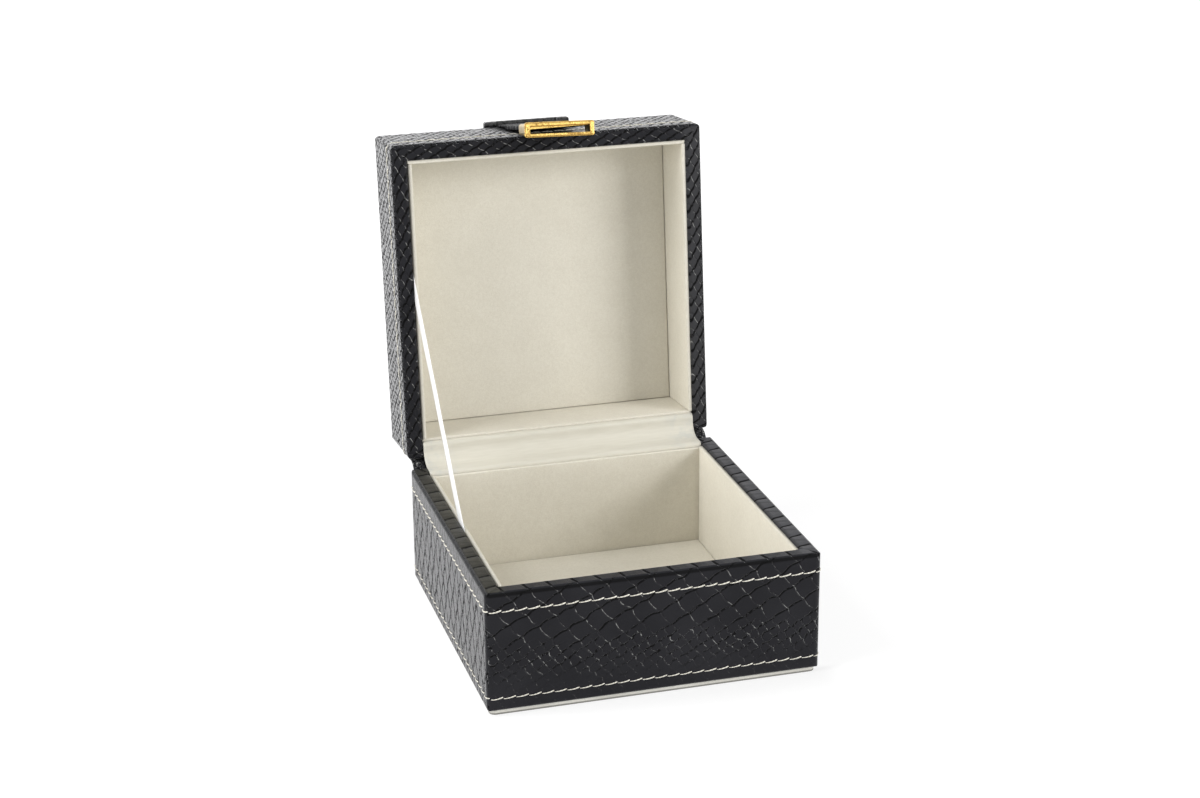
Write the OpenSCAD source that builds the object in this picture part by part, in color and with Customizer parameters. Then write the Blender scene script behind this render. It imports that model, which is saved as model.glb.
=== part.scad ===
// Hinged ring display box: a board tray and a board lid, each wrapped in
// leather and lined with velvet-covered cards. A leather spine joins them, a
// ribbon stays the open lid, and a leather strap with a metal end shuts it.
// Millimetres. The origin is the middle of the underside, +Z is up and the
// front, where the strap closes, is at -Y. The lid stands open.

/* [Box] */
// Outer width of the base and the lid
box_w = 110; // [90:1:150]
// Outer depth of the base and the lid
box_d = 110; // [90:1:150]
// Height of the wrapped base, without its bottom cover
base_h = 40.2; // [33:0.1:60]
// Height of the lid, from its rim to its top
lid_h = 29.1; // [24:0.1:45]
// Radius of the upright corners
corner_r = 2; // [1.5:0.1:3]
// Radius of the wrapped edges of both rims
rim_r = 1.2; // [1:0.1:1.5]
// Radius of the edges of the lid's top
top_r = 1.6; // [1.2:0.1:2.5]
// Radius of the lower edges of the base
foot_r = 1.2; // [1:0.1:2]

/* [Walls] */
// Thickness of the wall boards
board_t = 4.2; // [3:0.05:6]
// Thickness of the leather
leather_t = 0.7; // [0.5:0.1:0.8]
// Thickness of the board in the bottom of the base
bottom_t = 2; // [1.5:0.1:4]
// Thickness of the board in the top of the lid
top_t = 4.2; // [3:0.1:6]
// Depth to which the leather is turned in at the rims
turn_in = 8; // [5:0.5:12]
// Width of the leather turned under the base
hem_w = 12; // [8:0.5:18]
// Thickness of the paper cover under the base
cover_t = 1.5; // [0.8:0.1:2]
// How far the paper cover stands back from the edge of the base
cover_inset = 1; // [0.5:0.1:3]
// Play round the boards of the bottom and the top
board_play = 0.1; // [0.05:0.05:0.25]

/* [Lining] */
// Thickness of the velvet-covered cards on the walls
lining_t = 1.2; // [1:0.1:2.5]
// Slot behind the left lining, where the ends of the ribbon are glued
lining_slot = 0.4; // [0.4:0.05:0.6]
// How far the top edges of the lining stand below the rims
lining_drop = 0.8; // [0.4:0.1:1.5]
// Further drop of the lining at the hinged walls
hinge_drop = 0.5; // [0:0.1:1]
// Thickness of the pad on the floor
floor_t = 1; // [0.8:0.1:3]
// Thickness of the pad inside the lid's top
ceiling_t = 1.4; // [0.8:0.1:4]
// Play round the pads
pad_play = 0.15; // [0.1:0.05:0.25]
// Radius of the soft edges of pads and lining
pad_r = 0.4; // [0.2:0.1:0.4]

/* [Hinge] */
// Angle that the lid stands open
open_angle = 95.8; // [92:0.1:100]
// How far the hinge axis lies behind the back face
axis_back = 2.35; // [2:0.05:3]
// How far the hinge axis lies below the rim of the base
axis_drop = 0.45; // [0.2:0.05:0.8]
// Gap between the rims of the closed box, where the hinge strip folds
rim_gap = 0.7; // [0.6:0.05:1]
// How far the spine laps on to the two back faces
spine_lap = 16; // [12:0.5:20]
// How far the spine stands in from the sides of the box
spine_inset = 1.5; // [1:0.25:4]
// Radius of the bend of the spine
spine_r = 6; // [5.5:0.25:7]
// Thickness of the satin strip inside the hinge
strip_t = 0.3; // [0.2:0.05:0.3]
// Radius of the hollow bend of the satin strip
strip_r = 5.5; // [5:0.25:6]
// How far the satin strip stands in from the side walls, at each end
strip_in = 0.1; // [0.1:0.1:2]

/* [Ribbon] */
// Width of the ribbon that stays the lid
ribbon_w = 6; // [4:0.5:8]
// Thickness of the ribbon
ribbon_t = 0.3; // [0.15:0.05:0.3]
// Distance from the hinge axis to the ribbon at the base
ribbon_base = 55; // [45:1:65]
// Distance from the hinge axis to the ribbon at the lid
ribbon_lid = 61; // [45:1:65]
// Length of each glued end of the ribbon
ribbon_tab = 12; // [8:0.5:16]

/* [Clasp strap] */
// Width of the tab that holds the strap on top of the lid
tab_w = 31; // [28:0.5:36]
// Length of the tab on top of the lid
tab_len = 20; // [16:0.5:30]
// Thickness of the tab
tab_t = 2.2; // [1.8:0.1:3]
// How far the tab overhangs the lid's front
tab_over = 1.75; // [1:0.05:2.5]
// Play between the end of the strap and the inside of its sleeve, on each side
strap_play = 0.3; // [0.2:0.1:1]
// Thickness of the outer layer of the strap
strap_face_t = 0.8; // [0.7:0.05:0.9]
// Thickness of the layer behind it, which stiffens its lower part
strap_back_t = 0.8; // [0.6:0.05:1]
// How far the strap hangs below the lid's rim before its metal end
strap_reach = 6.8; // [5.5:0.1:12]
// Length of the strap that is glued under the tab
root_len = 12; // [8:0.5:15]
// Angle at which the loose strap stands off the lid
strap_lift = 6; // [5.8:0.1:9]

/* [Clasp fitting] */
// Width of the frame at the free end
frame_w = 24.2; // [20:0.2:30]
// Height of the frame
frame_h = 5.1; // [4.9:0.1:5.6]
// Width of the frame's two long bars
frame_bar = 1.15; // [1:0.05:1.3]
// Width of the frame's two end bars
frame_end = 1.65; // [1.3:0.05:2]
// Thickness of the frame, without its lip
frame_t = 0.9; // [0.8:0.1:1.5]
// Height of the lip round the frame's opening
lip_t = 0.5; // [0.4:0.1:0.8]
// How far the lip stands in from the edge of the frame
lip_step = 0.35; // [0.2:0.05:0.5]
// Wall of the sleeve behind the frame
sleeve_wall = 0.5; // [0.25:0.05:0.55]
// How far the sleeve stands in from the ends of the frame
sleeve_step = 0.3; // [0.2:0.05:0.5]
// Length of the sleeve behind the frame
sleeve_len = 8.7; // [8:0.1:12]
// Radius of the corners of the frame and the sleeve
fitting_r = 0.9; // [0.7:0.1:1.1]
// Angle at which the fitting hangs out of level
fitting_roll = 1.7; // [0:0.1:2]
// Depth of the clamping plate at its deep end
tongue_deep = 1.2; // [1:0.1:1.4]
// Depth of the clamping plate at its thin end
tongue_thin = 0.4; // [0.3:0.1:0.8]
// Diameter of the magnet hidden in the front of the base
magnet_d = 10; // [6:0.5:12]
// Thickness of the magnet
magnet_t = 2; // [1.5:0.1:2.4]

/* [Hidden] */
$fn = 32;

// Overshoot of everything that cuts
over = 2;
// Boards are eased a little more than the leather round them
ease = 0.1;
// Flats in the bend of a glued sheet
bend_steps = 16;
// Thickness of a wall: a board with leather on both sides
wall_t = board_t + 2 * leather_t;
// Space between opposite walls
inner_w = box_w - 2 * wall_t;
inner_d = box_d - 2 * wall_t;
// Outer size of the ring of wall boards, and the space between opposite boards
ring_w = box_w - 2 * leather_t;
ring_d = box_d - 2 * leather_t;
well_w = ring_w - 2 * board_t;
well_d = ring_d - 2 * board_t;
// Levels of the rims and of the closed lid's top
rim_z = cover_t + base_h;
lid_rim_z = rim_z + rim_gap;
lid_top_z = lid_rim_z + lid_h;
// Hinge axis
axis_y = box_d / 2 + axis_back;
axis_z = rim_z - axis_drop;
// Level of each tray's inside, over its bottom or top board
base_floor = leather_t + bottom_t;
lid_floor = leather_t + top_t;
// Outer corner of the lid's back rim when the lid is open
open_c = cos(open_angle);
open_s = sin(open_angle);
corner_y = axis_y - axis_back * open_c + (rim_gap + axis_drop) * open_s;
corner_z = axis_z + axis_back * open_s + (rim_gap + axis_drop) * open_c;
// Line where the planes of the two rims meet, and how far the bend reaches from it
strip_to_rim = (corner_z - rim_z) / open_s;
strip_y = corner_y + open_c * strip_to_rim;
strip_reach = strip_r * tan((180 - open_angle) / 2);
// How far below the rims the back linings stand, with the strip just over them
back_drop = max(lining_drop + hinge_drop, rim_r + 0.1);
strip_down = back_drop - 0.05;
// Middle of the spine's bend, tangent to the two back faces but for a film of glue
glue_t = 0.03;
spine_y = box_d / 2 + glue_t + spine_r;
spine_z = corner_z + ((spine_y - corner_y) * open_c - spine_r - glue_t) / open_s;
spine_to_rim = (spine_y - corner_y) * open_s + (spine_z - corner_z) * open_c;
// Ribbon: where it leaves the base and where it meets the open lid
slot_x = -(inner_w - lining_slot) / 2;
stay_y0 = axis_y - ribbon_base;
stay_y1 = axis_y - ribbon_lid * open_c + (rim_gap + axis_drop) * open_s;
stay_z1 = axis_z + ribbon_lid * open_s + (rim_gap + axis_drop) * open_c;
stay_len = sqrt(pow(stay_y1 - stay_y0, 2) + pow(stay_z1 - rim_z, 2));
stay_angle = atan2(stay_z1 - rim_z, stay_y1 - stay_y0);
// Strap and fitting
strap_len = (lid_h - top_r + strap_reach) / cos(strap_lift);
bend_r = top_r + glue_t;
bend_run = 0.4;
back_from = strap_back_t / sin(strap_lift - 1.5) + 1;
sleeve_in = frame_h - 2 * frame_bar;
sleeve_h = sleeve_in + 2 * sleeve_wall;
sleeve_w = frame_w - 2 * sleeve_step;
sleeve_room = sleeve_w - 2 * sleeve_wall;
strap_end_w = sleeve_room - 2 * strap_play;
// Distance from the middle of the bend to the middle of the fitting
fitting_y = bend_r + strap_face_t - sleeve_in / 2 - 0.1;
tip_t = strap_face_t - 0.1;
tip_len = 4.8;
tip_play = 0.05;
tongue_len = 3.6;
// Magnet, level with the middle of the sleeve when the box is shut
magnet_z = lid_top_z - top_r - (strap_len + sleeve_len / 2) * cos(strap_lift);
magnet_play = 0.1;

/* ---- Outlines ---- */

// Rectangle about the origin, with round corners
module round_rect(w, d, r) {
    square([w - 2 * r, d], center = true);
    square([w, d - 2 * r], center = true);
    for (sx = [-1, 1], sy = [-1, 1])
        translate([sx * (w / 2 - r), sy * (d / 2 - r)])
            circle(r);
}

// Rectangle that stands on the X axis, with round lower and upper corners
module edge_profile(w, h, r_low, r_high) {
    translate([-w / 2, r_low])
        square([w, h - r_low - r_high]);
    translate([-w / 2 + r_low, 0])
        square([w - 2 * r_low, h / 2]);
    translate([-w / 2 + r_high, h / 2])
        square([w - 2 * r_high, h / 2]);
    for (s = [-1, 1]) {
        if (r_low > 0)
            translate([s * (w / 2 - r_low), r_low])
                circle(r_low);
        if (r_high > 0)
            translate([s * (w / 2 - r_high), h - r_high])
                circle(r_high);
    }
}

// Opening that hangs below the X axis and flares by a quarter round at its mouth
module flare_profile(w, h, r) {
    translate([-w / 2, -h])
        square([w, h + over]);
    difference() {
        translate([-w / 2 - r, -r])
            square([w + 2 * r, r + over]);
        for (s = [-1, 1])
            translate([s * (w / 2 + r), -r])
                circle(r);
    }
}

// Points of an arc about the origin, and the way on at its clockwise end
function arc_points(r, a, b) = [for (i = [0:bend_steps]) let (k = a + (b - a) * i / bend_steps)
    [r * cos(k), r * sin(k)]];
function onward(r, a, far) = [r * cos(a) + far * sin(a), r * sin(a) - far * cos(a)];

// Sheet of thickness t that runs up beside the Y axis for a length before, bends
// clockwise by angle a with outer radius r, and runs on for a length after.
// The middle of the bend is the origin.
module bent_profile(r, t, a, before, after) {
    polygon(concat(
        [[-r, -before]], arc_points(r, 180, 180 - a), [onward(r, 180 - a, after)],
        [onward(r - t, 180 - a, after)], arc_points(r - t, 180 - a, 180), [[t - r, -before]]
    ));
}

// Half of the satin strip's side that is k off the leather, seen from the line where
// the planes of the rims meet: up the wall that is far away, over the rim's edge and
// round the bend, which has one point less at its middle for each one of short
function strip_half(far, k, short) = concat(
    [[far + k, -strip_down]],
    [for (i = [0:5]) let (a = 18 * i)
        [far - rim_r + (rim_r + k) * cos(a), -rim_r + (rim_r + k) * sin(a)]],
    [for (i = [0:6 - short]) let (a = 270 - (180 - open_angle) / 2 * i / 6)
        [strip_reach + (strip_r - k) * cos(a), strip_r + (strip_r - k) * sin(a)]]
);

// The strip's two sides in Y and Z, the base's half first
function strip_side(k) = concat(
    [for (p = strip_half(strip_y - inner_d / 2, k, 0)) [strip_y - p[0], rim_z + p[1]]],
    turned([for (p = strip_half(strip_to_rim + wall_t, k, 1))
        [strip_y - open_c * p[0] - open_s * p[1], rim_z + open_s * p[0] - open_c * p[1]]])
);
function turned(v) = [for (i = [len(v) - 1:-1:0]) v[i]];

/* ---- Shared solids ---- */

// Extrudes an outline in Y and Z along X
module along_x(length) {
    rotate([90, 0, 90])
        linear_extrude(length, center = true)
            children();
}

// Extrudes an outline in X and Z along Y
module along_y(length) {
    rotate([90, 0, 0])
        linear_extrude(length, center = true)
            children();
}

// Block with round upright corners and round lower and upper edges
module soft_block(w, d, h, r_up, r_low, r_high) {
    intersection() {
        linear_extrude(h)
            round_rect(w, d, r_up);
        along_x(w + over)
            edge_profile(d, h, r_low, r_high);
        along_y(d + over)
            edge_profile(w, h, r_low, r_high);
    }
}

// Pit whose mouth, at height z, is flared on all four sides
module flared_pit(w, d, z, depth, r) {
    translate([0, 0, z])
        intersection() {
            along_x(w + 2 * r + over)
                flare_profile(d, depth, r);
            along_y(d + 2 * r + over)
                flare_profile(w, depth, r);
        }
}

// Ring of wall boards inside a wrapped tray of height h; extra eases its edges
module board_ring(h, r_low, extra) {
    difference() {
        translate([0, 0, leather_t])
            soft_block(ring_w, ring_d, h - 2 * leather_t, corner_r - leather_t + extra,
                r_low - leather_t + extra, rim_r - leather_t + extra);
        flared_pit(well_w, well_d, h - leather_t, h, rim_r - leather_t + extra);
    }
}

// Leather of a tray that stands on z = 0 with its rim at h. It covers the outside
// and the rim and is turned in at the rim. Underneath it is turned in by hem_under,
// or covers the whole where that is 0.
module tray_leather(h, r_low, hem_under) {
    difference() {
        soft_block(box_w, box_d, h, corner_r, r_low, rim_r);
        board_ring(h, r_low, 0);
        flared_pit(inner_w, inner_d, h, turn_in, rim_r);
        translate([0, 0, leather_t])
            linear_extrude(h - leather_t - turn_in)
                square([well_w, well_d], center = true);
        if (hem_under > 0)
            translate([0, 0, -over])
                linear_extrude(over + 2 * leather_t)
                    square([box_w - 2 * hem_under, box_d - 2 * hem_under], center = true);
    }
}

// Front or back wall board of a tray of height h, on side s
module long_board(h, r_low, s) {
    intersection() {
        board_ring(h, r_low, ease);
        translate([0, s * (well_d + board_t) / 2, h / 2])
            cube([box_w, board_t, h], center = true);
    }
}

// Left or right wall board of a tray of height h, on side s
module short_board(h, r_low, s) {
    intersection() {
        board_ring(h, r_low, ease);
        translate([s * (well_w + board_t) / 2, 0, h / 2])
            cube([board_t, well_d, h], center = true);
    }
}

// Board dropped between the wall boards
module flat_board(t) {
    translate([0, 0, leather_t])
        linear_extrude(t)
            square([well_w - 2 * board_play, well_d - 2 * board_play], center = true);
}

// Lining card along the front or back wall, standing between levels lo and hi
module long_lining(lo, hi, s) {
    translate([0, s * (inner_d - lining_t) / 2, lo])
        along_x(inner_w - 2 * pad_play)
            edge_profile(lining_t, hi - lo, 0, pad_r);
}

// Lining card along a side wall, fitted between the long ones
module short_lining(lo, hi, s, slot) {
    translate([s * ((inner_w - lining_t) / 2 - slot), 0, lo])
        along_y(inner_d - 2 * lining_t)
            edge_profile(lining_t, hi - lo, 0, pad_r);
}

// Soft pad of thickness t lying between the linings at level z
module pad(t, z) {
    w = inner_w - 2 * lining_t - lining_slot - 2 * pad_play;
    d = inner_d - 2 * lining_t - 2 * pad_play;
    translate([lining_slot / 2, 0, z])
        soft_block(w, d, t, 2 * pad_r, 0, pad_r);
}

// Puts the base's tray on its bottom cover
module in_base() {
    translate([0, 0, cover_t])
        children();
}

// Turns a tray over to make the closed lid, then swings it open
module in_lid() {
    open_lid()
        translate([0, 0, lid_top_z])
            mirror([0, 0, 1])
                children();
}

// Swings the closed lid open about the hinge axis
module open_lid() {
    translate([0, axis_y, axis_z])
        rotate([-open_angle, 0, 0])
            translate([0, -axis_y, -axis_z])
                children();
}

// Frame of the hanging strap: -Z runs along it and -Y points away from the lid
module in_strap() {
    open_lid()
        translate([0, top_r - box_d / 2, lid_top_z - top_r])
            rotate([-strap_lift, 0, 0])
                children();
}

// Frame of the metal fitting, with its origin in the middle of the sleeve's back end
module in_fitting() {
    in_strap()
        translate([0, -fitting_y, -strap_len])
            rotate([0, 0, fitting_roll])
                children();
}

// Layer of the strap, t thick, whose inner face is off from the middle of the bend
module strap_layer(off, t, from) {
    in_strap()
        translate([0, -off - t / 2, -(strap_len + from) / 2])
            cube([strap_end_w, t, strap_len - from], center = true);
}

/* ---- Base ---- */

// Paper cover glued over the turned-under leather
module bottom_cover() {
    color("#e8e6df")
        linear_extrude(cover_t)
            round_rect(box_w - 2 * cover_inset, box_d - 2 * cover_inset, corner_r);
}

module base_leather() {
    color("#26252a")
        in_base()
            tray_leather(base_h, foot_r, hem_w);
}

module base_bottom_board() {
    color("#9a9488")
        in_base()
            flat_board(bottom_t);
}

// The front board has a pocket for the magnet, open towards the leather
module base_front_board() {
    color("#9a9488")
        difference() {
            in_base()
                long_board(base_h, foot_r, -1);
            translate([0, -ring_d / 2 + magnet_t + magnet_play, magnet_z])
                rotate([90, 0, 0])
                    cylinder(h = magnet_t + magnet_play + over, r = magnet_d / 2 + magnet_play);
        }
}

module base_back_board() {
    color("#9a9488")
        in_base()
            long_board(base_h, foot_r, 1);
}

module base_left_board() {
    color("#9a9488")
        in_base()
            short_board(base_h, foot_r, -1);
}

module base_right_board() {
    color("#9a9488")
        in_base()
            short_board(base_h, foot_r, 1);
}

module floor_pad() {
    color("#ddd6c4")
        in_base()
            pad(floor_t, base_floor);
}

module base_front_lining() {
    color("#e4dccb")
        in_base()
            long_lining(base_floor, base_h - lining_drop, -1);
}

module base_back_lining() {
    color("#e4dccb")
        in_base()
            long_lining(base_floor, base_h - back_drop, 1);
}

// The left lining stands off the wall by the slot that takes the ribbon
module base_left_lining() {
    color("#e4dccb")
        in_base()
            short_lining(base_floor, base_h - lining_drop, -1, lining_slot);
}

module base_right_lining() {
    color("#e4dccb")
        in_base()
            short_lining(base_floor, base_h - lining_drop, 1, 0);
}

// Magnet that holds the metal end of the strap, hidden behind the leather
module magnet() {
    color("#8c8f93")
        translate([0, -ring_d / 2 + magnet_t, magnet_z])
            rotate([90, 0, 0])
                cylinder(h = magnet_t, r = magnet_d / 2);
}

/* ---- Lid ---- */

module lid_leather() {
    color("#26252a")
        in_lid()
            tray_leather(lid_h, top_r, 0);
}

module lid_top_board() {
    color("#9a9488")
        in_lid()
            flat_board(top_t);
}

module lid_front_board() {
    color("#9a9488")
        in_lid()
            long_board(lid_h, top_r, -1);
}

module lid_back_board() {
    color("#9a9488")
        in_lid()
            long_board(lid_h, top_r, 1);
}

module lid_left_board() {
    color("#9a9488")
        in_lid()
            short_board(lid_h, top_r, -1);
}

module lid_right_board() {
    color("#9a9488")
        in_lid()
            short_board(lid_h, top_r, 1);
}

module ceiling_pad() {
    color("#ddd6c4")
        in_lid()
            pad(ceiling_t, lid_floor);
}

module lid_front_lining() {
    color("#e4dccb")
        in_lid()
            long_lining(lid_floor, lid_h - lining_drop, -1);
}

module lid_back_lining() {
    color("#e4dccb")
        in_lid()
            long_lining(lid_floor, lid_h - back_drop, 1);
}

module lid_left_lining() {
    color("#e4dccb")
        in_lid()
            short_lining(lid_floor, lid_h - lining_drop, -1, lining_slot);
}

module lid_right_lining() {
    color("#e4dccb")
        in_lid()
            short_lining(lid_floor, lid_h - lining_drop, 1, 0);
}

/* ---- Hinge and stay ---- */

// Leather glued to both back faces and bent between them
module hinge_spine() {
    color("#26252a")
        translate([0, spine_y, spine_z])
            along_x(box_w - 2 * spine_inset)
                bent_profile(spine_r, leather_t, open_angle,
                    spine_z - rim_z + spine_lap, spine_lap - spine_to_rim);
}

// Satin glued over both rims, down to the linings, and bent between them
module hinge_strip() {
    color("#dcdccb")
        along_x(inner_w - 2 * strip_in)
            polygon(concat(strip_side(glue_t), turned(strip_side(glue_t + strip_t))));
}

// Ribbon whose ends are glued behind the left linings, taut when the lid is open
module stay_ribbon() {
    color("#f7f7f5")
        translate([slot_x, stay_y0, rim_z])
            rotate([stay_angle, 0, 0])
                translate([0, stay_len / 2, 0])
                    cube([ribbon_t, stay_len + 2 * ribbon_tab, ribbon_w], center = true);
}

/* ---- Clasp ---- */

// Tab on top of the lid that overhangs its front and holds the strap's root beneath it
module strap_root() {
    color("#222126")
        open_lid()
            translate([0, -box_d / 2, lid_top_z])
                difference() {
                    translate([0, (tab_len - tab_over) / 2, 0])
                        soft_block(tab_w, tab_len + tab_over, tab_t, 1, 0.3, 0.5);
                    translate([0, (root_len - tab_over) / 2, -over])
                        linear_extrude(strap_face_t + 2 * glue_t + over)
                            square([strap_end_w + 0.2, root_len + tab_over + 0.4], center = true);
                }
}

// Outer layer's end, glued under the tab and bent over the lid's edge
module strap_bend() {
    color("#222126")
        in_strap()
            along_x(strap_end_w)
                bent_profile(bend_r + strap_face_t, strap_face_t, 90 - strap_lift,
                    bend_run, root_len - top_r);
}

module strap_face() {
    color("#222126")
        strap_layer(bend_r, strap_face_t, bend_run);
}

module strap_backing() {
    color("#2c2a2e")
        strap_layer(bend_r - strap_back_t, strap_back_t, back_from);
}

// Thinned end of the strap, gripped inside the sleeve
module strap_tip() {
    color("#222126")
        in_fitting()
            translate([0, -sleeve_in / 2 + tip_t / 2 + tip_play, -tip_len / 2])
                cube([strap_end_w - strap_play, tip_t, tip_len], center = true);
}

// Metal sleeve folded round the end of the strap
module clasp_sleeve() {
    color("#d9bd86")
        in_fitting()
            translate([0, 0, -sleeve_len])
                linear_extrude(sleeve_len)
                    difference() {
                        round_rect(sleeve_w, sleeve_h, fitting_r);
                        round_rect(sleeve_room, sleeve_in, fitting_r - sleeve_wall);
                    }
}

// Polished frame at the free end of the sleeve, with a raised lip round its opening
module clasp_frame() {
    color("#e6cb92")
        in_fitting()
            translate([0, 0, -sleeve_len - frame_t])
                difference() {
                    union() {
                        soft_block(frame_w, frame_h, frame_t, fitting_r, 0.3, 0.15);
                        translate([0, 0, -lip_t])
                            soft_block(frame_w - 2 * lip_step, frame_h - 2 * lip_step,
                                lip_t + frame_t / 2, fitting_r - lip_step / 2, 0.3, 0);
                    }
                    translate([0, 0, -lip_t - over])
                        linear_extrude(frame_t + lip_t + 2 * over)
                            round_rect(frame_w - 2 * frame_end, sleeve_in, 0.3);
                }
}

// Clamping plate inside the sleeve, deeper at its left end
module clasp_tongue() {
    color("#e6cb92")
        in_fitting()
            translate([0, 0, -sleeve_len])
                linear_extrude(tongue_len)
                    polygon([
                        [-sleeve_room / 2 + fitting_r, -sleeve_in / 2],
                        [sleeve_room / 2 - fitting_r, -sleeve_in / 2],
                        [sleeve_room / 2 - fitting_r, -sleeve_in / 2 + tongue_thin],
                        [-sleeve_room / 2 + fitting_r, -sleeve_in / 2 + tongue_deep]
                    ]);
}

/* ---- Drawing ---- */

bottom_cover();
base_leather();
base_bottom_board();
base_front_board();
base_back_board();
base_left_board();
base_right_board();
floor_pad();
base_front_lining();
base_back_lining();
base_left_lining();
base_right_lining();
magnet();
lid_leather();
lid_top_board();
lid_front_board();
lid_back_board();
lid_left_board();
lid_right_board();
ceiling_pad();
lid_front_lining();
lid_back_lining();
lid_left_lining();
lid_right_lining();
hinge_spine();
hinge_strip();
stay_ribbon();
strap_root();
strap_bend();
strap_face();
strap_backing();
strap_tip();
clasp_sleeve();
clasp_frame();
clasp_tongue();
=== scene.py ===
import bpy
import math
import random
from types import SimpleNamespace
from mathutils import Matrix, Vector, noise


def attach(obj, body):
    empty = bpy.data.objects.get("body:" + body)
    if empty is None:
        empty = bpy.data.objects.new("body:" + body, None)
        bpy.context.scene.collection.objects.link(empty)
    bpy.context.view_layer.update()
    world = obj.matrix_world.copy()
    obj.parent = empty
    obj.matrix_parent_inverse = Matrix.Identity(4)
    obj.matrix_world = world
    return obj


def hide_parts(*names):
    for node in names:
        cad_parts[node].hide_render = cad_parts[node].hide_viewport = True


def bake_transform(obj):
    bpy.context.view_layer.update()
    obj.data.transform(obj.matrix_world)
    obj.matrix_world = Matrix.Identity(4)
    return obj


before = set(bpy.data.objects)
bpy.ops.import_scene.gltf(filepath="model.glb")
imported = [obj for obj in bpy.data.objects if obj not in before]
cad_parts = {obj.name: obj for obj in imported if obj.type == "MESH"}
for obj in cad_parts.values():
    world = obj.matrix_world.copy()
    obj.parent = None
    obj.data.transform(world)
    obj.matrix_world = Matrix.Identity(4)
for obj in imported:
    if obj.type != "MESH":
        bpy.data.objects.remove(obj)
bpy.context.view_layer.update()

# ---------------------------------------------------------------- sizes, mm
# These repeat part.scad. The lid's are those of the closed box.
BOX = 110.0             # width and depth over the leather
HALF = BOX / 2
COVER = 1.5             # paper cover under the base
RIM = 41.7              # height of the base's rim
GAP = 0.7               # between the rims of the closed box
LID_H = 29.1            # height of the lid over its rim
LID_RIM = RIM + GAP
LID_TOP = LID_RIM + LID_H
WALL = 5.6              # a wall with its leather
INNER = HALF - WALL
LINING = 1.2            # velvet-covered card
SLOT = 0.4              # behind the left cards, where the ribbon's ends are glued
FLOOR = 4.2             # level of the base's floor, under its pad
CEILING = LID_TOP - 4.9
RIM_DROP = 0.8          # from a rim to the edge of the cards
HINGE_DROP = 0.5        # and further at the two back cards
FIT = 0.3               # play of cards and pads, across the well
GLUE = 0.03             # between a glued sheet and what it lies on
OPEN = math.radians(95.8)   # the lid in the photo
AXIS_Y = HALF + 2.35    # the lid's hinge
AXIS_Z = RIM - 0.45
TOP_R = 1.6             # rounding of the lid's top edges
SPINE_T = 0.7           # leather spine behind the hinge: thickness
SPINE_HALF = 53.5       # half of its width
SPINE_LAP = 16.0        # from a rim to its edge
SPINE_R = 6.0           # its bend
RIM_R = 1.2             # rounding of the rims' inner edges
STRIP_T = 0.3           # satin strip over both rims: thickness
STRIP_R = 5.5           # its bend
STRIP_DOWN = 1.25       # from the rims to its edges
RIBBON_HALF = 3.0       # stay ribbon: half of its width
RIBBON_T = 0.28         # thickness
RIBBON_END = 12.0       # glued length at each end
RIBBON_LOW = 55.0       # from the hinge to the ribbon's end in the base
RIBBON_HIGH = 61.0      # and in the lid
STITCH = 4.1            # from stitch to stitch
STRAP_W = 22.0
FACE_T = 0.8            # the strap's face
BACK_T = 0.8            # and its backing
ROOT = 10.4             # length of the strap under the tab
BEND_R = TOP_R + GLUE + FACE_T
LIFT = math.radians(6.0)    # of the strap off the front wall
STRAP_REACH = 6.8       # from the lid's rim to the sleeve
STRAP_LEN = (LID_H - TOP_R + STRAP_REACH) / math.cos(LIFT)
SIDE_RIMS = (47.5, 49.5)    # the left and right rims begin between these

MM = 0.001
X, Y, Z = Vector((1, 0, 0)), Vector((0, 1, 0)), Vector((0, 0, 1))


def rot_x(angle, y, z):
    """Turns about the line along X through y, z."""
    return (Matrix.Translation((0, y, z)) @ Matrix.Rotation(angle, 4, "X")
            @ Matrix.Translation((0, -y, -z)))


# from the closed box to the photo's pose: the lid, the strap's root and the strap
LID = rot_x(-OPEN, AXIS_Y, AXIS_Z)
BEND = LID @ Matrix.Translation((0, TOP_R - HALF, LID_TOP - TOP_R))
STRAP = BEND @ Matrix.Rotation(-LIFT, 4, "X")


def rgb(r, g=None, b=None):
    """A colour, or a grey where only one number is given."""
    return (r, r if g is None else g, r if b is None else b, 1)


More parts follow.
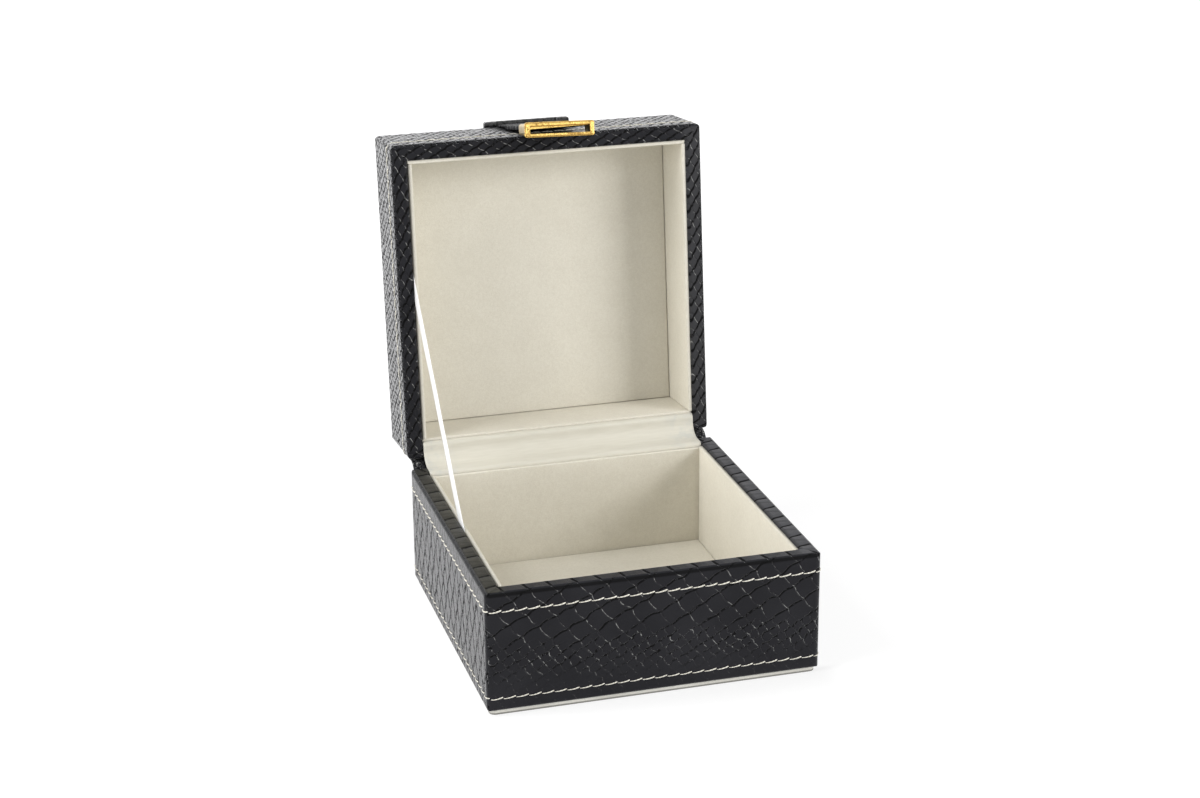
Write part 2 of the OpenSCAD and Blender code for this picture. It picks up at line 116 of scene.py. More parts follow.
# ---------------------------------------------------------------- node help
class Nodes:
    """The node tree of a material or world, with short names for what is used often."""

    def __init__(self, name, world=False):
        self.owner = (bpy.data.worlds if world else bpy.data.materials).new(name)
        self.owner.use_nodes = True
        self.tree = self.owner.node_tree
        self.tree.nodes.clear()
        self.out = self.new("ShaderNodeOutputWorld" if world else "ShaderNodeOutputMaterial")

    def new(self, kind, **props):
        n = self.tree.nodes.new(kind)
        for k, v in props.items():
            setattr(n, k, v)
        return n

    def link(self, a, b):
        self.tree.links.new(a, b)

    def put(self, socket, value):
        if isinstance(value, bpy.types.NodeSocket):
            self.link(value, socket)
        else:
            socket.default_value = value

    def math(self, op, *values, clamp=False):
        n = self.new("ShaderNodeMath", operation=op, use_clamp=clamp)
        for socket, value in zip(n.inputs, values):
            self.put(socket, value)
        return n.outputs[0]

    def mul(self, a, b, clamp=False):
        return self.math("MULTIPLY", a, b, clamp=clamp)

    def madd(self, a, b, c):
        """a * b + c"""
        return self.math("MULTIPLY_ADD", a, b, c)

    def add(self, a, b):
        return self.math("ADD", a, b)

    def sub(self, a, b):
        return self.math("SUBTRACT", a, b)

    def max(self, a, b):
        return self.math("MAXIMUM", a, b)

    def above(self, a, b):
        """1 where a is greater than b, else 0"""
        return self.math("GREATER_THAN", a, b)

    def abs(self, a):
        return self.math("ABSOLUTE", a)

    def inv(self, a):
        """1 - a"""
        return self.sub(1.0, a)

    def sin(self, a):
        return self.math("SINE", a)

    def noise(self, vector, scale, detail=3.0, rough=0.5, channels=False):
        n = self.new("ShaderNodeTexNoise", noise_dimensions="3D")
        self.put(n.inputs["Vector"], vector)
        self.put(n.inputs["Scale"], scale)
        self.put(n.inputs["Detail"], detail)
        self.put(n.inputs["Roughness"], rough)
        if not channels:
            return n.outputs["Fac"]
        split = self.new("ShaderNodeSeparateColor")
        self.link(n.outputs["Color"], split.inputs[0])
        return split.outputs

    def ramp(self, value, a, b, lo=0.0, hi=1.0, smooth=True):
        """From lo at a to hi at b, and level beyond them."""
        n = self.new("ShaderNodeMapRange")
        n.interpolation_type = "SMOOTHSTEP" if smooth else "LINEAR"
        for socket, v in zip(n.inputs, (value, a, b, lo, hi)):
            self.put(socket, v)
        return n.outputs[0]

    def mix(self, factor, a, b):
        """A mix of two colours."""
        n = self.new("ShaderNodeMix", data_type="RGBA")
        for i, v in ((0, factor), (6, a), (7, b)):
            self.put(n.inputs[i], v)
        return n.outputs[2]

    def mixf(self, factor, a, b):
        """A mix of two numbers."""
        n = self.new("ShaderNodeMix", data_type="FLOAT")
        for i, v in ((0, factor), (2, a), (3, b)):
            self.put(n.inputs[i], v)
        return n.outputs[0]

    def bump(self, height, distance, strength=1.0, normal=None):
        n = self.new("ShaderNodeBump")
        self.put(n.inputs["Height"], height)
        self.put(n.inputs["Distance"], distance)
        self.put(n.inputs["Strength"], strength)
        if normal is not None:
            self.link(normal, n.inputs["Normal"])
        return n.outputs[0]

    def shader(self, kind, *values):
        """A shader node whose first inputs are values."""
        n = self.new(kind)
        for socket, value in zip(n.inputs, values):
            self.put(socket, value)
        return n.outputs[0]

    def principled(self, **sockets):
        """The material's surface. _ stands for a space in an input's name."""
        n = self.new("ShaderNodeBsdfPrincipled")
        for k, v in sockets.items():
            self.put(n.inputs[k.replace("_", " ")], v)
        self.link(n.outputs[0], self.out.inputs[0])

    def scaled(self, socket):
        """A Mapping node from metres to millimetres."""
        n = self.new("ShaderNodeMapping")
        n.inputs["Scale"].default_value = (1 / MM,) * 3
        self.link(socket, n.inputs["Vector"])
        return n

    def millimetres(self, matrix=None):
        """Object coordinates, turned back to the closed lid where asked."""
        n = self.scaled(self.new("ShaderNodeTexCoord").outputs["Object"])
        if matrix is not None:
            loc, rot, _ = matrix.decompose()
            n.inputs["Location"].default_value = loc
            n.inputs["Rotation"].default_value = rot.to_euler()
        return n.outputs[0]

    def flat_place(self):
        """The flat place that the uv map of a strip or thread gives, in millimetres."""
        return self.scaled(self.new("ShaderNodeUVMap", uv_map="pat").outputs[0]).outputs[0]

    def xyz(self, vector):
        n = self.new("ShaderNodeSeparateXYZ")
        self.link(vector, n.inputs[0])
        return n.outputs

    def vec(self, x, y, z=0.0):
        n = self.new("ShaderNodeCombineXYZ")
        for socket, v in zip(n.inputs, (x, y, z)):
            self.put(socket, v)
        return n.outputs[0]

    def seen_ray(self):
        """1 for the camera's rays and for what metal and glass show, 0 for light on things."""
        path = self.new("ShaderNodeLightPath").outputs
        return self.max(path["Is Camera Ray"],
                        self.max(path["Is Glossy Ray"], path["Is Transmission Ray"]))


# ---------------------------------------------------------------- leather
# A place in the pattern has its point p, and u and w, the lengths round and up the wrap. The
# rest are masks from 0 to 1, or widths:
#   rim, wall    over a rim, and where the scales are plain
#   zone         which of the two sizes of scale
#   fade         depth of the pattern
#   jitter       unevenness of the second size's lines
#   crossed      where the falling creases are painted dark too, and not pale painted highlights
#   single       where the rising creases are faint
#   fine         the base's small scales
#   width        of the dark creases
# the crease, stroke and sheen colours below are painted shade, painted highlight and painted sheen
CREASE_SHADE, PAINTED_HIGHLIGHT, SHEEN = rgb(0.0012), rgb(0.34, 0.34, 0.33), rgb(0.70, 0.70, 0.71)


def wrapped(N, lid):
    """A place on the base's or lid's wrap, with what both patterns start from."""
    p = N.millimetres(LID.inverted() if lid else None)
    x, y, z = N.xyz(p)
    ax, ay = N.abs(x), N.abs(y)
    inset = N.sub(HALF, N.max(ax, ay))
    return SimpleNamespace(
        p=p, x=x, y=y, z=z, ax=ax, inset=inset,
        side=N.above(ax, ay), rim=N.ramp(inset, 0.6, 1.2),
        # lengths round the box on the front and back, and on the two sides
        front=N.mixf(N.above(y, 0.0), x, N.sub(2 * BOX, x)), flank=N.add(BOX, y))


def on_lid(N, top_scale):
    """A place in the lid's pattern, which runs on across the top in scales of another size."""
    at = wrapped(N, True)
    top = N.above(at.z, LID_TOP - 0.9)
    at.side, at.rim = N.mul(at.side, N.inv(top)), N.mul(at.rim, N.inv(top))
    big = N.mixf(top, 1.0, top_scale)
    flank = N.mixf(N.above(at.x, 0.0), at.flank, N.mul(at.flank, -1.0))
    at.u = N.mixf(at.side, N.mul(N.mixf(top, at.front, at.x), big), flank)
    at.w = N.mul(N.mixf(top, N.sub(at.z, at.inset), N.add(N.add(at.z, at.y), HALF)), big)
    at.wall, at.zone, at.fade = N.inv(at.rim), at.rim, 1.0
    at.jitter, at.crossed, at.single, at.fine = 0.07, at.wall, 0.0, 0.0
    at.width = N.mul(N.mixf(at.wall, 0.52, 0.75), N.ramp(big, 0.5, 1.0, 0.6, 1.0))
    return at


def on_base(N):
    """A place in the base's pattern: large lozenges, with fine ones low on the front."""
    at = wrapped(N, False)
    w = N.madd(at.inset, 0.35, at.z)
    flank = N.mixf(N.above(at.x, 0.0), N.mul(at.flank, -1.0), at.flank)
    flank = N.mul(flank, N.mixf(at.rim, 1.4, 1.2))
    at.wall = N.mul(at.side, N.inv(at.rim))
    # the scales turn fine below a wavy line that falls a little to the right
    level = N.madd(N.sub(N.noise(N.vec(at.front, w, 1.0), 0.09, 2.0), 0.5), 12.0, w)
    level = N.madd(at.x, 0.033, level)
    at.zone = N.max(N.ramp(level, 20.5, 24.5), at.wall)
    # on the front and back the pattern is turned a little, as a piece cut askew
    askew = 0.21
    lean = N.mul(at.front, N.madd(at.side, -askew, askew))
    at.u = N.mixf(at.side, N.madd(w, -askew, at.front), flank)
    at.w = N.add(N.mul(w, N.mixf(at.side, 1.0, N.mixf(at.rim, 0.594, 0.82))), lean)
    # the fine scales flatten out towards the foot, and all do beside the stitches
    calm = N.mul(N.ramp(at.z, 33.5, 36.0), at.wall)
    at.fade = N.mul(N.mixf(at.wall, N.ramp(level, 7.0, 16.0, 0.12, 1.0), 0.9),
                    N.madd(calm, -0.7, 1.0))
    at.jitter = N.mixf(at.wall, 0.06, 0.34)
    at.crossed, at.single = N.max(at.wall, at.rim), N.mul(at.rim, 0.85)
    at.fine = N.inv(at.zone)
    at.width = N.madd(at.rim, 0.28, N.mixf(at.wall, 0.52, 0.95))
    return at


def on_strip(N):
    """A place in the pattern of the spine or the strap, by their uv map."""
    p = N.flat_place()
    u, w, _ = N.xyz(p)
    return SimpleNamespace(p=p, u=u, w=w, rim=0.0, wall=1.0, zone=0.0, fade=1.0, jitter=0.07,
                           crossed=1.0, single=0.0, fine=0.0, width=0.75)


def scales(N, u, w, size, seed, drift, jitter, bulge):
    """Round-backed scales of a size (pitch, row), between two families of creases.

    Gives their height, and the distances to the rising creases and to the falling ones.
    """
    pitch, row = size
    q = N.vec(u, w, seed)
    slow = N.noise(q, 0.10, 2.0, channels=True)
    quick = N.noise(q, 0.5, 1.0, channels=True)
    across = 1 / math.sqrt(1 / pitch ** 2 + 1 / (4 * row * row))

    def family(sign, i):
        count = N.madd(w, sign / (2 * row), N.mul(u, 1 / pitch))
        count = N.madd(N.sub(slow[i], 0.5), drift, count)
        return N.madd(N.sub(quick[i], 0.5), jitter, count)

    def arched(count, other):
        arch = N.sin(N.mul(N.math("FRACT", other), math.pi))
        return N.math("FRACT", N.madd(arch, bulge, count))

    def edge(f):
        return N.mul(N.math("MINIMUM", f, N.inv(f)), across)

    rising, falling = family(-1, 0), family(1, 1)
    a, b = arched(rising, falling), arched(falling, rising)
    # each scale rises towards its upper right and drops to the next one
    return N.madd(a, 0.25, N.mul(b, 0.25)), edge(a), edge(b)


def leather(name, kind, first, second, sheen_strength):
    """Black embossed leather. first and second are the sizes of scale in zones 0 and 1."""
    N = Nodes(name)
    base, lid = kind == "base", kind in ("lid", "tab")
    rim0, rim1 = SIDE_RIMS
    if base:
        at = on_base(N)
    elif lid:
        at = on_lid(N, 1.0 if kind == "tab" else 0.5)
    else:
        at = on_strip(N)
    h1, a1, b1 = scales(N, at.u, at.w, first, 3.0, 0.9, 0.35, 0.12)
    h2, a2, b2 = scales(N, at.u, at.w, second, 9.0, 0.45, at.jitter, 0.09)
    h = N.mixf(at.zone, N.mul(h1, 0.6), h2)
    to_rising, to_falling = N.mixf(at.zone, a1, a2), N.mixf(at.zone, b1, b2)
    blots = N.noise(at.p, 0.42, 2.0, 0.6)
    specks = N.noise(at.p, 1.1, 2.0, 0.6)

    def crease(distance, width):
        return N.ramp(distance, width, N.mul(width, 0.35))

    # painted shade in the creases: dark, broken here and there
    dark = N.mul(crease(to_rising, at.width), N.inv(at.single))
    dark = N.max(dark, N.mul(crease(to_falling, N.mul(at.width, 0.8)), at.crossed))
    part = N.max(at.wall, at.fine)
    gaps = N.ramp(specks, N.mixf(part, 0.66, 0.56), N.mixf(part, 0.52, 0.44),
                  N.mixf(part, 0.3, 0.1), 1.0)
    if base:
        gaps = N.max(gaps, N.mul(at.rim, N.ramp(at.x, -rim1, -rim0, 0.6, 1.0)))
    dark = N.mul(dark, N.mul(gaps, at.fade))

    # painted highlights: pale strokes where the other family's edges catch the light
    bright = N.mul(crease(to_falling, 0.17), N.inv(at.crossed))
    bright = N.mul(bright, N.mul(N.ramp(blots, 0.45, 0.58), at.fade))
    bright = N.mul(bright, N.mixf(at.fine, 1.0, N.ramp(specks, 0.46, 0.56)))
    bright = N.mul(bright, N.ramp(specks, 0.34, 0.62, 0.25, 1.0))

    # relief
    groove = N.max(dark, N.mul(crease(to_falling, 0.36), at.fade))
    h = N.madd(groove, -0.7, N.mul(h, at.fade))
    if base:
        puff = N.math("POWER", N.math("MINIMUM", N.mul(to_falling, 0.45), 1.0), 0.6)
        h = N.add(h, N.mul(puff, at.rim))
        # the wrap's edge rolls in over the rim and leaves a shadow under it
        roll = N.mul(N.ramp(at.z, RIM - 1.7, RIM - 1.0), N.ramp(at.z, RIM - 0.15, RIM - 0.4))
        dark = N.max(dark, N.mul(roll, N.sub(0.85, N.mul(at.side, 0.5))))
        bright = N.mul(bright, N.ramp(at.z, RIM - 0.7, RIM - 1.5))
    grain = N.noise(at.p, 2.4, 4.0, 0.65)
    lumps = N.noise(at.p, 0.8, 2.0, 0.5)
    h = N.madd(lumps, N.mixf(at.wall, 0.12, 0.45 if base else 0.8), h)
    normal = N.bump(grain, 0.00007, 0.9, N.bump(h, 0.00026))

    # colour, with worn places at random
    tone_mask = N.ramp(N.noise(at.p, 0.05), 0.35, 0.7)
    colour = N.mix(tone_mask, rgb(0.013, 0.013, 0.0155), rgb(0.018, 0.018, 0.021))
    colour = N.mix(N.ramp(grain, 0.5, 0.8, 0.0, 0.35), colour, rgb(0.035, 0.035, 0.038))
    if base:
        # painted sheen: the rims are painted paler, the right one most
        rim_sheen = N.mul(N.ramp(at.x, rim0, rim1, 0.3, 0.85), at.rim)
        colour = N.mix(rim_sheen, colour, rgb(0.062, 0.062, 0.068))
        # painted reflection: the left rim is painted olive, the cream lining mirrored in it
        lining_reflection = N.mul(N.ramp(at.x, -rim0, -rim1, 0.0, 0.7), at.rim)
        colour = N.mix(lining_reflection, colour, rgb(0.040, 0.039, 0.030))
    elif lid:
        # painted sheen: the right rim is painted paler
        rim_sheen = N.mul(N.ramp(at.x, rim0, rim1, 0.0, 0.6), at.rim)
        colour = N.mix(rim_sheen, colour, rgb(0.055, 0.055, 0.058))
    if kind == "tab":
        # paler towards the front end, with a painted highlight along its outermost edge
        end = N.ramp(at.y, -HALF - 0.2, -HALF - 1.0)
        colour = N.mix(end, colour, rgb(0.085))
        tip = N.ramp(at.y, -HALF - 1.4, -HALF - 1.75)
        colour = N.mix(N.mul(tip, lumps), colour, rgb(0.30))
        dark = N.mul(dark, N.madd(end, -0.6, 1.0))
    if kind == "spine":
        # frayed flecks at both ends
        ends = N.ramp(N.abs(at.u), SPINE_HALF - 3.5, SPINE_HALF - 0.5)
        flecks = N.mul(ends, N.ramp(specks, 0.56, 0.63))
        colour = N.mix(N.mul(flecks, 0.8), colour, rgb(0.42, 0.42, 0.40))

    # painted sheen: the colour turns grey when seen along the surface
    layer = N.new("ShaderNodeLayerWeight")
    layer.inputs["Blend"].default_value = 0.5
    N.link(normal, layer.inputs["Normal"])
    sheen = N.mul(N.math("POWER", layer.outputs["Facing"], 6.0), sheen_strength)
    sheen = N.mul(sheen, N.madd(at.rim, -0.8, 1.0), clamp=True)
    if lid:
        sheen = N.mul(sheen, N.madd(at.side, -0.42, 1.0))
    if kind == "lid":
        # painted shadow under the strap: the painted sheen is taken off the front wall there
        near = N.madd(N.sub(LID_TOP, at.z), 0.3, at.ax)
        near = N.mul(N.ramp(near, 19.0, 13.0), N.ramp(at.y, 1.0 - HALF, 0.2 - HALF))
        sheen = N.mul(sheen, N.madd(near, -0.92, 1.0))
    colour = N.mix(sheen, colour, SHEEN)
    # painted highlights on the strokes
    colour = N.mix(N.mul(bright, 0.8), colour, PAINTED_HIGHLIGHT)
    # painted shade in the creases
    colour = N.mix(N.mul(dark, 0.94), colour, CREASE_SHADE)
    rough = N.mixf(dark, N.madd(grain, 0.22, 0.26), 0.85)
    N.principled(Base_Color=colour, Roughness=rough, Normal=normal, IOR=1.5,
                 Specular_IOR_Level=0.10)
    return N.owner


# ---------------------------------------------------------------- other materials
def velvet(name, colour, deep, lid=False):
    """Short cream pile with a soft mottle."""
    N = Nodes(name)
    p = N.millimetres(LID.inverted() if lid else None)
    mottle = N.noise(p, 0.12, 3.0, 0.55)
    nap = N.noise(p, 0.8, 3.0, 0.65)
    pile = N.noise(p, 2.6, 3.0, 0.7)
    light = N.madd(pile, 0.75, N.madd(mottle, 0.25, N.mul(nap, 0.45)))
    N.principled(Base_Color=N.mix(N.ramp(light, 0.5, 0.95), deep, colour), Roughness=0.95,
                 Normal=N.bump(N.madd(nap, 0.5, pile), 0.00014, 0.6),
                 Sheen_Weight=0.25, Sheen_Roughness=0.5, Sheen_Tint=rgb(1.0, 0.97, 0.9),
                 Specular_IOR_Level=0.15)
    return N.owner


def satin(name, colour, deep, rough, smudges=False, ribs=False):
    """Smooth woven satin with soft streaks. Its threads follow u, or v where it has ribs."""
    N = Nodes(name)
    u, v, _ = N.xyz(N.flat_place())
    streak = N.noise(N.vec(N.mul(u, 0.12), N.mul(v, 1.1), 0.0), 1.0)
    base = N.mix(N.ramp(streak, 0.2, 0.8), deep, colour)
    if smudges:
        # greyish towards both ends
        past = N.sub(N.abs(u), 44.0)
        blots = N.noise(N.vec(u, v, 2.0), 0.22, 3.0, 0.6)
        near = N.mul(N.ramp(past, -7.0, 1.0), N.ramp(blots, 0.42, 0.7))
        base = N.mix(N.mul(near, 0.35), base, rgb(0.40, 0.44, 0.45))
    weave = N.sin(N.mul(u if ribs else v, 2 * math.pi / 0.35))
    N.principled(Base_Color=base, Roughness=rough,
                 Normal=N.bump(streak, 0.00008, 0.4, N.bump(weave, 0.000015, 0.5)),
                 Anisotropic=0.4, Sheen_Weight=0.15)
    return N.owner


def gilt(name, colour, deep, rough, reflection_patches=0.75):
    """Metal with uneven polish. Dark patches at random are painted reflections, and corners get
    painted shade.
    """
    N = Nodes(name)
    p = N.millimetres()
    # dark patches at random: painted reflections
    spots = N.noise(p, 0.8, 4.0, 0.65)
    fine = N.noise(p, 2.5, 3.0, 0.6)
    # painted shade in corners and crevices, by ambient occlusion
    ao = N.new("ShaderNodeAmbientOcclusion", samples=8)
    ao.inputs["Distance"].default_value = 0.7 * MM
    tone_mask = N.max(N.mul(N.ramp(spots, 0.50, 0.63), reflection_patches),
                 N.mul(N.ramp(ao.outputs["AO"], 0.99, 0.78), 0.95))
    N.principled(Base_Color=N.mix(tone_mask, colour, deep), Metallic=1.0,
                 Roughness=N.madd(fine, 0.25, rough),
                 Normal=N.bump(N.madd(fine, 0.4, spots), 0.00018, 0.8))
    return N.owner


def paper(name, colour, deep):
    """Paper cover, with a painted contact shadow along its foot where it stands on the table."""
    N = Nodes(name)
    p = N.millimetres()
    base = N.mix(N.ramp(N.noise(p, 0.08, 2.0), 0.3, 0.7), deep, colour)
    # painted contact shadow: darker towards the foot
    base = N.mix(N.ramp(N.xyz(p)[2], 0.75, 0.35, 0.0, 0.9), base, rgb(0.17, 0.165, 0.15))
    N.principled(Base_Color=base, Roughness=0.8,
                 Normal=N.bump(N.noise(p, 1.3, 4.0, 0.65), 0.00005, 0.6))
    return N.owner


def thread(name):
    """Waxed cream thread: two plies laid round each other."""
    N = Nodes(name)
    u, v, _ = N.xyz(N.flat_place())
    lay = N.sin(N.madd(u, 2 * math.pi / 1.05, N.mul(v, 2 * math.pi / 1.75)))
    fuzz = N.noise(N.vec(u, v, 0.0), 2.0)
    # painted shade in the grooves between the plies
    base = N.mix(N.ramp(lay, -1.0, -0.3), rgb(0.56, 0.52, 0.42), rgb(0.90, 0.875, 0.79))
    base = N.mix(N.mul(N.ramp(fuzz, 0.4, 0.7), 0.3), base, rgb(0.80, 0.76, 0.63))
    N.principled(Base_Color=base, Roughness=0.6, Normal=N.bump(lay, 0.00008, 0.8))
    return N.owner


def greyboard(name):
    """Bare greyboard, as it is under the wrap."""
    N = Nodes(name)
    fibres = N.noise(N.millimetres(), 0.9, 5.0, 0.7)
    base = N.mix(N.ramp(fibres, 0.3, 0.7), rgb(0.30, 0.27, 0.22), rgb(0.42, 0.38, 0.32))
    N.principled(Base_Color=base, Roughness=0.9, Normal=N.bump(fibres, 0.0001, 0.6))
    return N.owner


M_BASE = leather("leather_base", "base", (4.9, 2.1), (9.8, 4.1), 0.58)
M_LID = leather("leather_lid", "lid", (3.6, 2.4), (5.6, 1.6), 2.2)
M_TAB = leather("leather_tab", "tab", (3.6, 2.4), (5.6, 1.6), 1.5)
M_STRAP = leather("leather_strap", "strap", (3.2, 2.0), (4.4, 2.6), 0.12)
M_SPINE = leather("leather_spine", "spine", (3.2, 2.0), (4.4, 2.6), 0.3)
CREAM, CREAM_DEEP = rgb(0.74, 0.71, 0.62), rgb(0.665, 0.63, 0.54)
M_VELVET = velvet("velvet_base", CREAM, CREAM_DEEP)
M_VELVET_LID = velvet("velvet_lid", CREAM, CREAM_DEEP, lid=True)
M_SATIN = satin("satin_strip", rgb(0.66, 0.635, 0.55), rgb(0.61, 0.585, 0.50), 0.55, smudges=True)
M_RIBBON = satin("satin_ribbon", rgb(0.93, 0.93, 0.92), rgb(0.88, 0.88, 0.87), 0.35, ribs=True)
M_GILT = gilt("gilt_frame", rgb(0.82, 0.56, 0.17), rgb(0.26, 0.13, 0.025), 0.16)
M_PALE = gilt("gilt_sleeve", rgb(0.80, 0.66, 0.42), rgb(0.40, 0.31, 0.18), 0.20, reflection_patches=0.25)
M_PAPER = paper("paper_cover", rgb(0.72, 0.705, 0.65), rgb(0.62, 0.605, 0.55))
M_THREAD = thread("thread_cream")
M_BOARD = greyboard("greyboard")
M_STEEL = gilt("nickel_magnet", rgb(0.62, 0.62, 0.63), rgb(0.4, 0.4, 0.41), 0.3)


def paint(node, mat):
    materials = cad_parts[node].data.materials
    materials.clear()
    materials.append(mat)


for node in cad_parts:
    if "board" in node:
        paint(node, M_BOARD)
for node, mat in (("base_leather", M_BASE), ("lid_leather", M_LID), ("bottom_cover", M_PAPER),
                  ("magnet", M_STEEL), ("clasp_frame", M_GILT), ("clasp_tongue", M_GILT),
                  ("clasp_sleeve", M_PALE), ("strap_tip", M_STRAP), ("strap_root", M_TAB)):
    paint(node, mat)


# ---------------------------------------------------------------- mesh help
def metres(point):
    return tuple(point * MM)


def add_object(name, data):
    o = bpy.data.objects.new(name, data)
    bpy.context.scene.collection.objects.link(o)
    return o


def build(name, verts, faces, mat, body=None, matrix=None, uv=None):
    """A smooth mesh object from points in millimetres."""
    me = bpy.data.meshes.new(name)
    points = [Vector(v) for v in verts]
    if matrix is not None:
        points = [matrix @ v for v in points]
    me.from_pydata([metres(v) for v in points], [], faces)
    if uv is not None:
        layer = me.uv_layers.new(name="pat")
        for loop in me.loops:
            layer.data[loop.index].uv = [c * MM for c in uv[loop.vertex_index]]
    me.validate()
    me.materials.append(mat)
    for p in me.polygons:
        p.use_smooth = True
    o = add_object(name, me)
    if body:
        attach(o, body)
    return o


def basis(origin, across, up, out):
    """The matrix of a frame with these axes at origin."""
    m = Matrix((across, up, out)).transposed().to_4x4()
    m.translation = Vector(origin)
    return m


# ---------------------------------------------------------------- velvet cards and pads
def spaced(size, r, n):
    """Places from -size/2 to size/2, each with the drop of its round edge."""
    steps, edge = 6, []
    for i in range(steps):
        t = i / steps * math.pi / 2
        edge.append((-size / 2 + r * (1 - math.cos(t)), r * (1 - math.sin(t))))
    flat = [(-size / 2 + r + (size - 2 * r) * i / n, 0.0) for i in range(n + 1)]
    return edge + flat + [(-a, drop) for a, drop in reversed(edge)]


def panel(name, node, body, mat, matrix, w, h, t, r, crown, wave, seed, n=26):
    """A covered card or pad in place of a node: flat back at z = 0, soft front at z = t."""
    xs, ys = spaced(w, r, n), spaced(h, r, max(6, int(n * h / w)))
    nx, ny = len(xs), len(ys)
    verts = []
    for y, dy in ys:
        for x, dx in xs:
            z = t - math.hypot(dx, dy) if dx and dy else t - dx - dy
            swell = (1 - abs(2 * x / w) ** 6) * (1 - abs(2 * y / h) ** 6)
            z = max(z, t - r)
            z += crown * swell
            z += wave * swell * noise.noise(Vector((x * 0.06, y * 0.06, seed)))
            z += 0.4 * wave * swell * noise.noise(Vector((x * 0.25, y * 0.25, seed + 5)))
            verts.append((x, y, z))
    faces = [(a, a + 1, a + nx + 1, a + nx)
             for a in (j * nx + i for j in range(ny - 1) for i in range(nx - 1))]
    # from the outline of the front straight down to the back
    ring = [*range(nx), *range(2 * nx - 1, nx * ny, nx),
            *range(nx * ny - 2, nx * (ny - 1) - 1, -1), *range(nx * (ny - 2), 0, -nx)]
    low = [len(verts) + i for i in range(len(ring))]
    verts += [(verts[k][0], verts[k][1], 0.0) for k in ring]
    for i in range(len(ring)):
        j = (i + 1) % len(ring)
        faces.append((ring[j], ring[i], low[i], low[j]))
    faces.append(tuple(reversed(low)))
    o = build(name, verts, faces, mat, body, matrix)
    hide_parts(node)


def linings(body, mat, pose, levels, back_levels, seed):
    """The four wall cards between two levels of the closed box. The back one has its own two."""
    wide, narrow = 2 * INNER - FIT, 2 * INNER - 2 * LINING
    cards = (("front", wide, levels, (0, -INNER), -X, Y),
             ("back", wide, back_levels, (0, INNER), X, -Y),
             ("left", narrow, levels, (-INNER + SLOT, 0), Y, X),
             ("right", narrow, levels, (INNER, 0), -Y, -X))
    for k, (side, w, (lo, hi), place, across, out) in enumerate(cards):
        panel(f"{body}_{side}_velvet", f"{body}_{side}_lining", body, mat,
              pose @ basis((*place, (lo + hi) / 2), across, Z, out), w, hi - lo,
              t=LINING, r=0.42, crown=0.0, wave=0.16, seed=seed + k)


EDGE, LID_EDGE = RIM - RIM_DROP, LID_RIM + RIM_DROP
linings("base", M_VELVET, Matrix.Identity(4), (FLOOR, EDGE), (FLOOR, EDGE - HINGE_DROP), 3.0)
linings("lid", M_VELVET_LID, LID, (LID_EDGE, CEILING), (LID_EDGE + HINGE_DROP, CEILING), 13.0)
PAD_W = 2 * INNER - 2 * LINING - SLOT - FIT
PAD_D = 2 * INNER - 2 * LINING - FIT
panel("floor_velvet", "floor_pad", "base", M_VELVET, basis((SLOT / 2, 0, FLOOR), X, Y, Z),
      PAD_W, PAD_D, t=0.95, r=0.4, crown=0.05, wave=0.12, seed=41.0, n=40)
panel("ceiling_velvet", "ceiling_pad", "lid", M_VELVET_LID,
      LID @ basis((SLOT / 2, 0, CEILING), X, -Y, -Z),
      PAD_W, PAD_D, t=1.3, r=0.4, crown=0.1, wave=0.3, seed=47.0, n=40)


# ---------------------------------------------------------------- stitching
def square_path(z):
    """A level square with round corners on the box's faces."""
    r, steps, pts = 2.2, 8, []
    k = HALF - r
    for cx, cy, start in ((k, -k, -90), (k, k, 0), (-k, k, 90), (-k, -k, 180)):
        for i in range(steps + 1):
            t = math.radians(start + i * 90 / steps)
            pts.append(Vector((cx + r * math.cos(t), cy + r * math.sin(t), z)))
    return pts


def along(pts):
    """A closed path as a function from length to place and direction, and its whole length."""
    q = pts + [pts[0]]
    acc = [0.0]
    for a, b in zip(q, q[1:]):
        acc.append(acc[-1] + (b - a).length)

    def at(s):
        s = s % acc[-1]
        for i in range(len(acc) - 1):
            if s <= acc[i + 1] or i == len(acc) - 2:
                f = (s - acc[i]) / max(acc[i + 1] - acc[i], 1e-9)
                return q[i].lerp(q[i + 1], f), (q[i + 1] - q[i]).normalized()
    return at, acc[-1]


